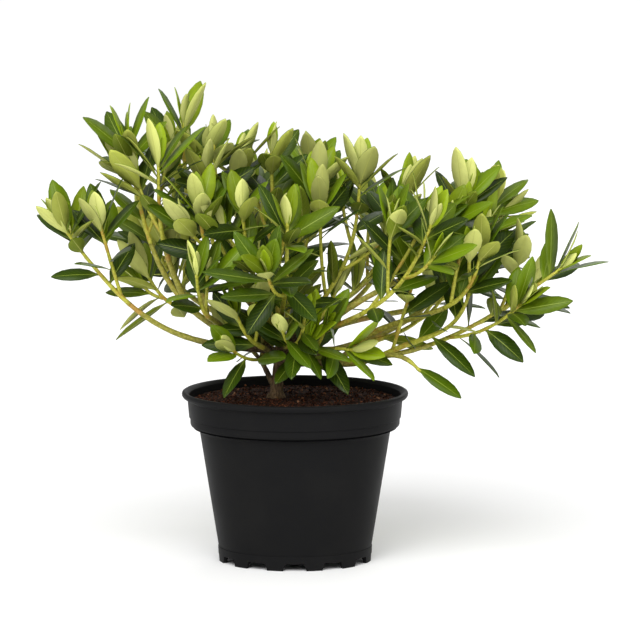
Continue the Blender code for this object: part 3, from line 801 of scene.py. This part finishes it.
def makePot():
    p = potShape
    foot, collar, lip = p["bodyFootRadius"], p["collarFootRadius"], p["height"]
    profile = [(foot, 0.0)]
    profile += edgeAt(foot, p["baseRingTop"], p["ringEdge"])
    profile += edgeAt(p["ledgeRadius"], p["ledgeFoot"], p["ledgeEdge"])
    profile += edgeAt(collar, p["collarFoot"], p["groove"] + p["collarEdge"])
    profile += edgeAt(collar, p["collarFoot"] + p["ridge"], p["ridgeEdge"])
    profile += edgeAt(p["collarTopRadius"], lip, p["shoulder"])
    profile += edgeAt(p["lipRadius"], lip, p["lipRoll"])
    profile += [  # down inside, over the floor and back under it
        (p["collarTopRadius"] - p["wall"], lip - p["lipDepth"]),
        (collar - p["wall"], p["collarFoot"] + p["collarStep"]),
        (p["ledgeRadius"] - p["bodyWall"], p["ledgeFoot"] + p["ledgeStep"]),
        (foot - p["bodyWall"], p["floorTop"]),
        (0.0, p["floorTop"]),
        (0.0, p["floorUnderside"]),
        (foot - p["skirtWall"] - p["skirtDraft"], p["floorUnderside"]),
        (foot - p["skirtWall"], 0.0),
        (foot, 0.0),
    ]
    bm = spunShell(profile, p["steps"])
    piece = linked("potShell", asMesh("pot", bm, smooth=False))

    # the gaps between the feet are cut by one wedge for each
    cutters = bpy.data.collections.new("gaps")
    bpy.context.scene.collection.children.link(cutters)
    gap = 2 * math.pi * foot / p["feet"] - p["footWidth"]
    low, high = gap / 2 + p["footFlare"] / 2, gap / 2 - p["footFlare"] / 2
    for step in range(p["feet"]):
        wedge = bmesh.new()
        bmesh.ops.create_cube(wedge, size=1.0)
        for corner in wedge.verts:
            top = corner.co.z > 0
            corner.co.x = foot + corner.co.x * p["skirtWall"] * p["gapReach"]
            corner.co.y = math.copysign(high if top else low, corner.co.y)
            corner.co.z = p["skirtFoot"] if top else -mm
        upper = [edge for edge in wedge.edges if min(v.co.z for v in edge.verts) > 0]
        bmesh.ops.bevel(
            wedge,
            geom=[edge for edge in upper if edge.calc_length() > gap],
            offset=p["footRound"],
            affect="EDGES",
            segments=2,
            profile=0.5,
            material=-1,
        )
        turn = Matrix.Rotation(2 * math.pi * step / p["feet"], 4, "Z")
        bmesh.ops.transform(wedge, matrix=turn, verts=wedge.verts)
        bmesh.ops.recalc_face_normals(wedge, faces=wedge.faces)
        cutters.objects.link(bpy.data.objects.new("gap", asMesh("gap", wedge, smooth=False)))
    cut = piece.modifiers.new("gaps", "BOOLEAN")
    cut.operation, cut.solver = "DIFFERENCE", "EXACT"
    cut.operand_type, cut.collection = "COLLECTION", cutters
    done = settledMesh(piece)
    for item in list(cutters.objects):
        bpy.data.objects.remove(item, do_unlink=True)
    bpy.data.collections.remove(cutters)
    done.name = "potShell"
    done.shade_smooth()
    done.set_sharp_from_angle(angle=math.radians(p["sharpAngle"]))
    addPiece("potShell", done, [makePotMaterial()], ["pot"])
    print("pot made")


soilLook = dict(
    rings=34,
    steps=120,
    waves=(190, 230, 410, 350),
    waveStart=1.3,
    smallWave=0.6,
    lump=0.00077,
    calm=0.045,  # it lies flat about the trunk
    coarse=(0.1, 260, 0.0011),
    fine=(0.7, 900, 0.0006),
    clear=0.0009,  # of the pot's wall all round
    floorClear=0.0003,
    edgeOut=0.0012,
    collarStep=0.0026,
    crumbs=1500,
    crumbSize=(0.0007, 0.0024),
    chips=70,
    chipSize=(0.0012, 0.0030),
    crumbEdge=0.002,
    crumbShare=(0.6, 1.0),
    crumbLength=(0.8, 1.6),
    crumbWidth=0.8,
    crumbHeight=(0.45, 0.8),
    crumbRise=0.25,
    crumbRadius=0.6,
    crumbRough=(900, 0.12),
    trunkClear=0.011,
    seed=7,
)

soilFinish = dict(
    dark=(0.0060, 0.0022, 0.0011),
    brown=(0.028, 0.0088, 0.0038),
    rusty=(0.150, 0.045, 0.019),
    pale=(0.26, 0.15, 0.085),
    grainScale=950.0,
    grainSteps=(0.80, 0.92),
    grainShare=0.8,
    clumps=(320.0, 5.0, 0.7),
    clumpSteps=(0.35, 0.68),
    bump=(0.8, 0.0009),
    roughness=0.95,
    specular=0.1,
)


def soilHeight(x, y):
    look = soilLook
    swell = soilBed["mound"] * max(0.0, 1 - (x * x + y * y) / potShape["collarFootRadius"] ** 2)
    alongX, alongY, smallX, smallY = look["waves"]
    lump = math.sin(x * alongX + look["waveStart"]) * math.cos(y * alongY)
    lump += look["smallWave"] * math.sin(x * smallX + y * smallY)
    calm = min(1.0, math.hypot(x - wood["trunkFoot"].x, y - wood["trunkFoot"].y) / look["calm"])
    height = soilBed["rimLevel"] + swell + look["lump"] * lump * calm ** 2
    for layer, scale, depth in (look["coarse"], look["fine"]):
        height += noise.noise(Vector((x, y, layer)) * scale) * depth
    return height


def makeSoilMaterials():
    f = soilFinish
    made = []
    for name, first, second in (("peat", f["dark"], f["brown"]), ("barkChip", f["rusty"], f["pale"])):
        s = Shader(name)
        place = s.place()
        grains = s.node("ShaderNodeTexVoronoi", None, {"Vector": place, "Scale": f["grainScale"]}, "Color")
        grain = s.node("ShaderNodeSeparateColor", None, {0: grains})
        clumps = s.noise(place, *f["clumps"])
        base = s.mix(s.step(clumps, *f["clumpSteps"]), first, second)
        made.append(s.finish({
            "Base Color": s.mix(s.step(grain, *f["grainSteps"]) * f["grainShare"], base, f["rusty"]),
            "Roughness": f["roughness"],
            "Specular IOR Level": f["specular"],
            "Normal": s.bump(clumps, *f["bump"]),
        }))
    return made


def makeSoil():
    p, look = potShape, soilLook
    gap, bodyGap = p["wall"] + look["clear"], p["bodyWall"] + look["clear"]
    edge = p["collarFootRadius"] - gap + look["edgeOut"]
    floor = p["floorTop"] + look["floorClear"]
    profile = [
        (0.0, floor),
        (p["bodyFootRadius"] - bodyGap, floor),
        (p["ledgeRadius"] - bodyGap, p["ledgeFoot"] + p["ledgeStep"]),
        (p["collarFootRadius"] - gap, p["collarFoot"] + look["collarStep"]),
    ]
    for ring in range(look["rings"] + 1):
        profile.append((edge * (1 - ring / look["rings"]), soilBed["rimLevel"]))
    bm = spunShell(profile, look["steps"])
    for vert in bm.verts:
        if vert.co.z > soilBed["rimLevel"] - mm:
            vert.co.z = soilHeight(vert.co.x, vert.co.y)

    rng = random.Random(look["seed"])
    noise.seed_set(look["seed"])  # noise_vector would start from the clock
    roughScale, roughShare = look["crumbRough"]
    sizes = [look["crumbSize"]] * look["crumbs"] + [look["chipSize"]] * look["chips"]
    for number, (least, most) in enumerate(sizes):
        radius = (edge - look["crumbEdge"]) * math.sqrt(rng.random())
        bearing = rng.uniform(0, 2 * math.pi)
        x, y = radius * math.cos(bearing), radius * math.sin(bearing)
        size = rng.uniform(least, most) * rng.uniform(*look["crumbShare"])
        turn = Matrix.Rotation(rng.uniform(0, anyTurn), 4, Vector([rng.gauss(0, 1) for _ in "xyz"]))
        long, wide = size * rng.uniform(*look["crumbLength"]), size * look["crumbWidth"]
        form = Matrix.Diagonal((long, wide, size * rng.uniform(*look["crumbHeight"]), 1))
        spot = Matrix.Translation((x, y, soilHeight(x, y) + size * look["crumbRise"]))
        if (Vector((x, y)) - wood["trunkFoot"].xy).length < look["trunkClear"]:
            continue
        made = bmesh.ops.create_icosphere(
            bm, subdivisions=1, radius=look["crumbRadius"], matrix=spot @ turn @ form)
        for vert in made["verts"]:
            vert.co += noise.noise_vector(vert.co * roughScale) * size * roughShare
            for face in vert.link_faces:
                face.material_index = 1 if number >= look["crumbs"] else 0
    addPiece("soilBed", asMesh("soilBed", bm), makeSoilMaterials(), ["soil"])
    print("soil made")


barkLook = dict(
    trunkSteps=64,
    trunkRound=12,
    boughRound=4,
    twigRound=3,
    # depth, scale and lengthwise share of the relief
    furrows=(0.00055, 420, 0.25),
    boughGrain=(0.00018, 600, 1.0),
    finer=2.3,
    finerShare=0.5,
    knobs=0.00022,
    nodeSpacing=0.011,
    sunk=0.0015,
    slimmer=0.0003,
    slimmerTip=0.0002,
    budAhead=0.0022,
    budSize=(0.0017, 0.0017, 0.0048, 1),
    budPoint=0.35,
)

woodFinish = dict(
    oldBark=(0.034, 0.019, 0.007),
    oldBarkPale=(0.120, 0.078, 0.040),
    tan=(0.42, 0.185, 0.030),
    # the trunk: its ridges run upward
    flow=(1.0, 1.0, 0.28),
    ridges=(520.0, 5.0, 0.7),
    ridgeSteps=(0.36, 0.66),
    ridgeBump=(0.9, 0.0007),
    oldPatches=(90.0, 3.0),
    oldPatchSteps=(0.55, 0.75),
    oldPatchShare=0.25,
    oldRoughness=0.88,
    oldSpecular=0.25,
    # boughs and twigs: where the brown starts and ends, and the greens beyond it
    boughs=dict(brown=(0.015, 0.085), green=(0.20, 0.19, 0.016), pale=(0.40, 0.37, 0.060)),
    twigs=dict(brown=(0.010, 0.045), green=(0.33, 0.33, 0.022), pale=(0.54, 0.53, 0.070)),
    patches=(55.0, 3.0, 0.6),
    patchSteps=(0.52, 0.68),
    patchShare=0.6,
    streaks=(420.0, 4.0, 0.65),
    streakSteps=(0.35, 0.7),
    brownSteps=(0.4, 0.65),
    brownFrom=0.7,
    brownBlur=0.09,
    roughness=0.55,
    brownRougher=0.3,
    specular=0.4,
    bump=(0.5, 0.0003),
)


def makeBarkMaterial():
    f = woodFinish
    s = Shader("trunkBark")
    place = s.place()
    ridges = s.noise(s.stretched(place, f["flow"]), *f["ridges"])
    patches = s.noise(place, *f["oldPatches"])
    base = s.mix(s.step(ridges, *f["ridgeSteps"]), f["oldBark"], f["oldBarkPale"])
    return s.finish({
        "Base Color": s.mix(s.step(patches, *f["oldPatchSteps"]) * f["oldPatchShare"], base, f["tan"]),
        "Roughness": f["oldRoughness"],
        "Specular IOR Level": f["oldSpecular"],
        "Normal": s.bump(ridges, *f["ridgeBump"]),
    })


def makeYoungWoodMaterial(name, look):
    # brown close to the trunk, tan in patches, yellow-green further out
    f = woodFinish
    s = Shader(name)
    place = s.place()
    foot = wood["trunkFoot"].lerp(wood["trunkTop"], f["brownFrom"]) + potCentre
    offset = s.node("ShaderNodeVectorMath", dict(operation="SUBTRACT"), {0: place, 1: tuple(foot)})
    away = s.node("ShaderNodeVectorMath", dict(operation="LENGTH"), {0: offset}, "Value")
    patches = s.noise(place, *f["patches"])
    streaks = s.noise(place, *f["streaks"])
    young = s.mix(s.step(streaks, *f["streakSteps"]), look["green"], look["pale"])
    base = s.mix(s.step(patches, *f["patchSteps"]) * f["patchShare"], young, f["tan"])
    brown = s.mix(s.step(streaks, *f["brownSteps"]), f["oldBark"], f["oldBarkPale"])
    near = s.step(away + (patches - 0.5) * f["brownBlur"], *look["brown"], 1.0, 0.0)
    return s.finish({
        "Base Color": s.mix(near, base, brown),
        "Roughness": f["roughness"] + near * f["brownRougher"],
        "Specular IOR Level": f["specular"],
        "Normal": s.bump(streaks, *f["bump"]),
    })


def knobbyRadii(points, foot, tip, rng):
    # a slight swelling where each old leaf sat
    total = pathLength(points)
    spacing = barkLook["nodeSpacing"]
    radii = []
    distance, offset = 0.0, rng.uniform(0, spacing)
    for index, point in enumerate(points):
        if index:
            distance += (point - points[index - 1]).length
        wave = (distance + offset) % spacing / spacing
        swell = barkLook["knobs"] * max(0.0, math.cos(2 * math.pi * wave)) ** 3
        radii.append(foot + (tip - foot) * distance / total + swell)
    return radii


def roughen(bm, amount, scale, lengthwise):
    # relief along the normals, with a finer one on top
    finer, share = barkLook["finer"], barkLook["finerShare"]
    bm.normal_update()
    moves = []
    for vert in bm.verts:
        spot = Vector((vert.co.x * scale, vert.co.y * scale, vert.co.z * scale * lengthwise))
        moves.append(vert.normal * (noise.noise(spot) + share * noise.noise(spot * finer)) * amount)
    for vert, move in zip(bm.verts, moves):
        vert.co += move


def makeTrunk():
    w = wood
    steps = barkLook["trunkSteps"]
    points, radii = [], []
    for step in range(steps + 1):
        along = step / steps
        points.append(w["trunkFoot"].lerp(w["trunkTop"], along))
        for k in range(len(w["trunkStations"]) - 1):
            low, high = w["trunkStations"][k], w["trunkStations"][k + 1]
            if low <= along <= high:
                share = (along - low) / (high - low)
                radii.append(w["trunkRadii"][k] * (1 - share) + w["trunkRadii"][k + 1] * share)
                break
    points[0] = points[0] - up * barkLook["sunk"]  # the foot goes a little into the soil
    bm = strandMesh("trunk", [(points, radii)], barkLook["trunkRound"])
    roughen(bm, *barkLook["furrows"])
    addPiece("trunkBark", asMesh("trunkBark", bm), [makeBarkMaterial()], ["trunk"])
    print("trunk made")


def makeBoughs(limbs):
    w, look = wood, barkLook
    rng = random.Random(w["seed"])
    strands = []
    names = [row[0] for row in limbRows if "fineBough" in limbs[row[0]]]
    for name in names:
        points = limbs[name]["fineBough"]
        tip = w["tipRadius"] - look["slimmer"]
        strands.append((points, knobbyRadii(points, w["footRadius"], tip, rng)))
    bm = strandMesh("boughs", strands, look["boughRound"])
    roughen(bm, *look["boughGrain"])
    material = makeYoungWoodMaterial("boughBark", woodFinish["boughs"])
    nodes = ["bough_" + name for name in names]
    addPiece("boughs", asMesh("boughs", bm), [material], nodes)
    print("boughs made")


def makeTwigs(limbs):
    w, look = wood, barkLook
    rng = random.Random(w["seed"] + 1)
    strands, tips = [], []
    for row in limbRows:
        for points, fine, foot in limbs[row[0]]["shoots"]:
            tip = w["shootTipRadius"] - look["slimmerTip"]
            strands.append((fine, knobbyRadii(fine, foot - look["slimmer"], tip, rng)))
            tips.append(fine)
    bm = strandMesh("twigs", strands, look["twigRound"])
    for fine in tips:  # a pointed bud in the middle of each rosette
        axis = axisOf(fine)
        turn = axis.to_track_quat("Z", "Y").to_matrix().to_4x4()
        place = Matrix.Translation(fine[-1] + axis * look["budAhead"]) @ turn
        place @= Matrix.Diagonal(look["budSize"])
        made = bmesh.ops.create_uvsphere(bm, u_segments=8, v_segments=6, radius=1.0)
        for vert in made["verts"]:
            vert.co.xy *= 1 - look["budPoint"] * max(0.0, vert.co.z)
        bmesh.ops.transform(bm, matrix=place, verts=made["verts"])
    material = makeYoungWoodMaterial("twigBark", woodFinish["twigs"])
    nodes = ["foliage_" + row[0] for row in limbRows]
    addPiece("twigs", asMesh("twigs", bm), [material], nodes)
    print("twigs made")


leafShape = dict(
    along=(0.0, 0.08, 0.24, 0.42, 0.60, 0.78, 0.92, 1.0),
    half=(0.13, 0.17, 0.70, 0.97, 1.00, 0.80, 0.43, 0.06),
    across=(-1.0, -0.035, 0.035, 1.0),
    ribEdge=0.1,
    ribCentre=0.01,
    ribTaper=(0.5, 1.1),
    ribLeast=0.3,
    thickness=0.00042,
    underTilt=-0.3,
    edgeFall=0.06,
    sway=0.035,
    twist=9,
    ripple=0.012,
    ripples=9,
    heartLeaves=2,
    heartOpening=(4, 11),
    heartSize=(0.42, 0.62),
    heartRise=0.2,
    heartWidth=0.8,
    heartBend=0.02,
    # a leaf's age grows the further down its shoot it sits, and the leaves grown on low shoots get a
    # further darker step that is partly age and partly painted shade under the crown; ages holds where
    # each next one starts
    ageRanks=7,
    ageRange=0.35,
    hangingAge=1.0,
    ages=(0.15, 0.60, 1.10),
    seed=900,
)

# upper side, underside and the ribs on both, from the newest leaves to the oldest
leafFinish = dict(
    upper=((0.200, 0.280, 0.005), (0.104, 0.168, 0.002), (0.052, 0.096, 0.001), (0.022, 0.046, 0.001)),
    under=((0.585, 0.610, 0.190), (0.530, 0.560, 0.155), (0.385, 0.425, 0.070), (0.160, 0.210, 0.015)),
    upperRib=(0.230, 0.300, 0.030),
    underRib=(0.490, 0.510, 0.110),
    upperRoughness=0.40,
    underRoughness=0.66,
    upperSpecular=0.18,
    underSpecular=0.12,
    upperSpread=0.34,
    underSpread=0.20,
    ribRoughness=0.5,
    mottle=(150.0, 3.0, 0.6),
    tintShare=0.75,
    mottleShare=0.4,
    tintSteps=(0.22, 0.92),
    veins=0.15,
    veinCount=62.0,
    veinSlant=0.55,
    veinSteps=(0.72, 1.0),
    veinFade=(0.04, 0.46, 1.0, 0.25),
    footFade=(0.0, 0.30, 0.5, 0.0),
)


def makeLeafMaterial(name, base, rib, roughness, specular, spread):
    # a plain colour for its age, mottled a little and with faint veins
    f = leafFinish
    s = Shader(name)
    uv = s.node("ShaderNodeUVMap", dict(uv_map="blade"))
    flat = s.node("ShaderNodeSeparateXYZ", None, {0: uv})
    along = s.node("ShaderNodeSeparateXYZ", None, {0: uv}, 1)
    side = abs(flat - 0.5)
    tint = s.node("ShaderNodeAttribute", dict(attribute_name="tint"), output="Fac")
    tint = tint * f["tintShare"] + s.noise(s.place(), *f["mottle"]) * f["mottleShare"]
    wave = s.sine((along - side * f["veinSlant"]) * f["veinCount"])
    vein = s.step(wave, *f["veinSteps"]) * s.step(side, *f["veinFade"])
    dark = tuple(part * (1 - spread) for part in base)
    light = tuple(min(1.0, part * (1 + spread)) for part in base)
    body = s.mix(s.step(tint, *f["tintSteps"]), dark, light)
    body = s.mix(s.step(along, *f["footFade"]), body, rib)
    body = s.mix(vein * f["veins"], body, rib)
    return s.finish({
        "Base Color": body,
        "Roughness": roughness,
        "Specular IOR Level": specular,
    })


def makeLeafMaterials():
    # the upper sides come first, then the undersides, then the two ribs
    f = leafFinish
    made = []
    for side in ("upper", "under"):
        for age, base in enumerate(f[side]):
            look = (f[side + "Roughness"], f[side + "Specular"], f[side + "Spread"])
            made.append(makeLeafMaterial(f"leaf{side.title()}{age}", base, f[side + "Rib"], *look))
    for side in ("upper", "under"):
        s = Shader(side + "Rib")
        made.append(s.finish({"Base Color": colour(f[side + "Rib"]), "Roughness": f["ribRoughness"]}))
    return made


def leafGrid():
    # a flat blade of unit length and half width, with its own UV map
    shape = leafShape
    columns, rows = len(shape["across"]) - 1, len(shape["along"]) - 1
    bm = bmesh.new()
    bmesh.ops.create_grid(bm, x_segments=columns, y_segments=rows, size=0.5)
    blade = bm.loops.layers.uv.new("blade")
    for face in bm.faces:
        for loop in face.loops:
            column = round((loop.vert.co.x + 0.5) * columns)
            row = round((loop.vert.co.y + 0.5) * rows)
            half = shape["across"][column] / 2 * max(shape["ribLeast"], shape["half"][row])
            loop[blade].uv = (0.5 + half, shape["along"][row])
    for vert in bm.verts:
        column = round((vert.co.x + 0.5) * columns)
        row = round((vert.co.y + 0.5) * rows)
        across, narrow = shape["across"][column], shape["half"][row]
        if abs(across) < shape["ribEdge"]:  # the rib narrows evenly to the tip
            least, more = shape["ribTaper"]
            across *= least + more * (1 - shape["along"][row])
            narrow = max(narrow, shape["ribLeast"])
        vert.co = (across * narrow, shape["along"][row], 0)
    for face in bm.faces:
        if abs(face.calc_center_median().x) < shape["ribCentre"]:
            face.material_index = 1
    return bm


def addLeaf(bm, grid, blade, age, rng):
    shape, rule = leafShape, leafRule
    place, length, width, bend = blade
    leaf = grid.copy()
    sway = rng.uniform(-1, 1) * shape["sway"]
    twist = math.radians(rng.uniform(-1, 1) * shape["twist"])
    phase = rng.uniform(0, anyTurn)
    for vert in leaf.verts:
        across, along = vert.co.x, vert.co.y
        edge = abs(across)
        x = across * width / 2
        z = rule["cup"] * width * edge - shape["edgeFall"] * width * edge ** 3
        z += shape["ripple"] * width * edge * math.sin(shape["ripples"] * along + phase + across)
        turn = twist * along
        x, z = x * math.cos(turn) - z * math.sin(turn), x * math.sin(turn) + z * math.cos(turn)
        vert.co = (x + sway * length * along ** 2, length * along, z - bend * length * along ** 2)
    leaf.normal_update()
    bmesh.ops.solidify(leaf, geom=list(leaf.faces), thickness=shape["thickness"])
    leaf.normal_update()
    ages = len(leafFinish["upper"])
    for face in leaf.faces:
        below = face.normal.z < shape["underTilt"]
        if face.material_index:
            face.material_index = 2 * ages + (1 if below else 0)
        else:
            face.material_index = age + (ages if below else 0)
    tint = leaf.verts.layers.float.new("tint")
    shade = rng.random()
    for vert in leaf.verts:
        vert[tint] = shade
    bmesh.ops.recalc_face_normals(leaf, faces=leaf.faces)
    bmesh.ops.transform(leaf, matrix=place, verts=leaf.verts)
    mesh = bpy.data.meshes.new("leaf")
    leaf.to_mesh(mesh)
    leaf.free()
    bm.from_mesh(mesh)
    bpy.data.meshes.remove(mesh)


def heartLeaves(fine, rng):
    # small upright leaves in the middle of a rosette
    shape, rule = leafShape, leafRule
    axis = (fine[-1] - fine[-3]).normalized()
    made = []
    turn = rng.uniform(0, anyTurn)
    for number in range(shape["heartLeaves"]):
        opening = math.radians(rng.uniform(*shape["heartOpening"]))
        outward = outwardFrom(axis, turn + number * goldenAngle)
        heading = math.cos(opening) * axis + math.sin(opening) * outward + shape["heartRise"] * up
        upper = math.sin(opening) * axis - math.cos(opening) * outward
        size = rng.uniform(*shape["heartSize"])
        width = rule["width"] * size * shape["heartWidth"]
        place = leafPlace(fine[-1], heading, upper)
        made.append((place, rule["length"] * size, width, shape["heartBend"]))
    return made


def makeLeaves(limbs):
    shape = leafShape
    materials = makeLeafMaterials()
    grid = leafGrid()
    count = 0
    for number, (name, *_) in enumerate(limbRows):
        rng = random.Random(shape["seed"] + number)
        bm = bmesh.new()
        bm.loops.layers.uv.new("blade")
        bm.verts.layers.float.new("tint")
        hanging = axisOf(limbs[name]["leader"]).z < 0
        for leaf in limbs[name]["leaves"]:
            # the darker step set while growing is partly age and, on the low shoots, partly painted shade
            # under the crown
            age = leaf["rank"] / shape["ageRanks"] + leaf["older"]
            age += rng.uniform(-shape["ageRange"], shape["ageRange"])
            if hanging:
                age = shape["hangingAge"]
            addLeaf(bm, grid, leaf["blade"], sum(age >= limit for limit in shape["ages"]), rng)
            count += 1
        for points, fine, radius in limbs[name]["shoots"]:
            if axisOf(fine).z < 0:
                continue
            for blade in heartLeaves(fine, rng):
                addLeaf(bm, grid, blade, 0, rng)
                count += 1
        addPiece("leaves_" + name, asMesh("leaves_" + name, bm), materials, ["foliage_" + name])
    grid.free()
    print("leaves made:", count)


studio = dict(
    floorSize=30.0,
    floorColour=(0.93, 0.93, 0.93),
    floorRoughness=0.9,
    floorSpecular=0.1,
    skyStrength=0.60,
    cameraPlace=(0.02125, -6.0, 1.01683),
    cameraDown=7.70,
    lens=400.7,
    sensor=36.0,
    cameraReach=60,
    aimHeight=0.2,
    sunFrom=(-0.14, -0.78, 0.74),
    sunStrength=2.30,
    sunAngle=50,
    # place, size and power of the soft boxes
    boxes=(
        ((-0.7, -2.6, 1.5), 1.2, 16.0),
        ((1.5, -1.6, 0.9), 1.2, 8.0),
        ((0.5, 2.4, 1.7), 1.6, 14.0),
    ),
)


def aim(item, place, target):
    item.location = place
    item.rotation_euler = (target - place).to_track_quat("-Z", "Y").to_euler()


def makeStudio():
    scene = bpy.context.scene
    scene.view_settings.view_transform = "Standard"
    world = bpy.data.worlds.new("studio")
    world.use_nodes = True
    sky = world.node_tree.nodes["Background"]
    sky.inputs["Color"].default_value = (1, 1, 1, 1)
    sky.inputs["Strength"].default_value = studio["skyStrength"]
    scene.world = world

    bm = bmesh.new()
    bmesh.ops.create_grid(bm, x_segments=1, y_segments=1, size=studio["floorSize"] / 2)
    floor = linked("floor", asMesh("floor", bm, smooth=False))
    s = Shader("floorPaper")
    floor.data.materials.append(s.finish({
        "Base Color": colour(studio["floorColour"]),
        "Roughness": studio["floorRoughness"],
        "Specular IOR Level": studio["floorSpecular"],
    }))

    middle = potCentre + studio["aimHeight"] * up
    sun = bpy.data.lights.new("sun", "SUN")
    sun.energy, sun.angle = studio["sunStrength"], math.radians(studio["sunAngle"])
    aim(linked("sun", sun), middle + Vector(studio["sunFrom"]), middle)
    for place, size, power in studio["boxes"]:
        lamp = bpy.data.lights.new("softBox", "AREA")
        lamp.shape, lamp.size, lamp.energy = "DISK", size, power
        aim(linked("softBox", lamp), potCentre + Vector(place), middle)

    data = bpy.data.cameras.new("camera")
    data.lens, data.sensor_width = studio["lens"], studio["sensor"]
    data.clip_end = studio["cameraReach"]
    camera = linked("camera", data)
    camera.location = potCentre + Vector(studio["cameraPlace"])
    camera.rotation_euler = (math.radians(90 - studio["cameraDown"]), 0, 0)
    scene.camera = camera
    print("studio made")


makeStudio()
makePot()
makeSoil()
limbs, woodGrown = growPlant()
growFiner(limbs, woodGrown)
print("plant grown")
makeTrunk()
makeBoughs(limbs)
makeTwigs(limbs)
makeLeaves(limbs)
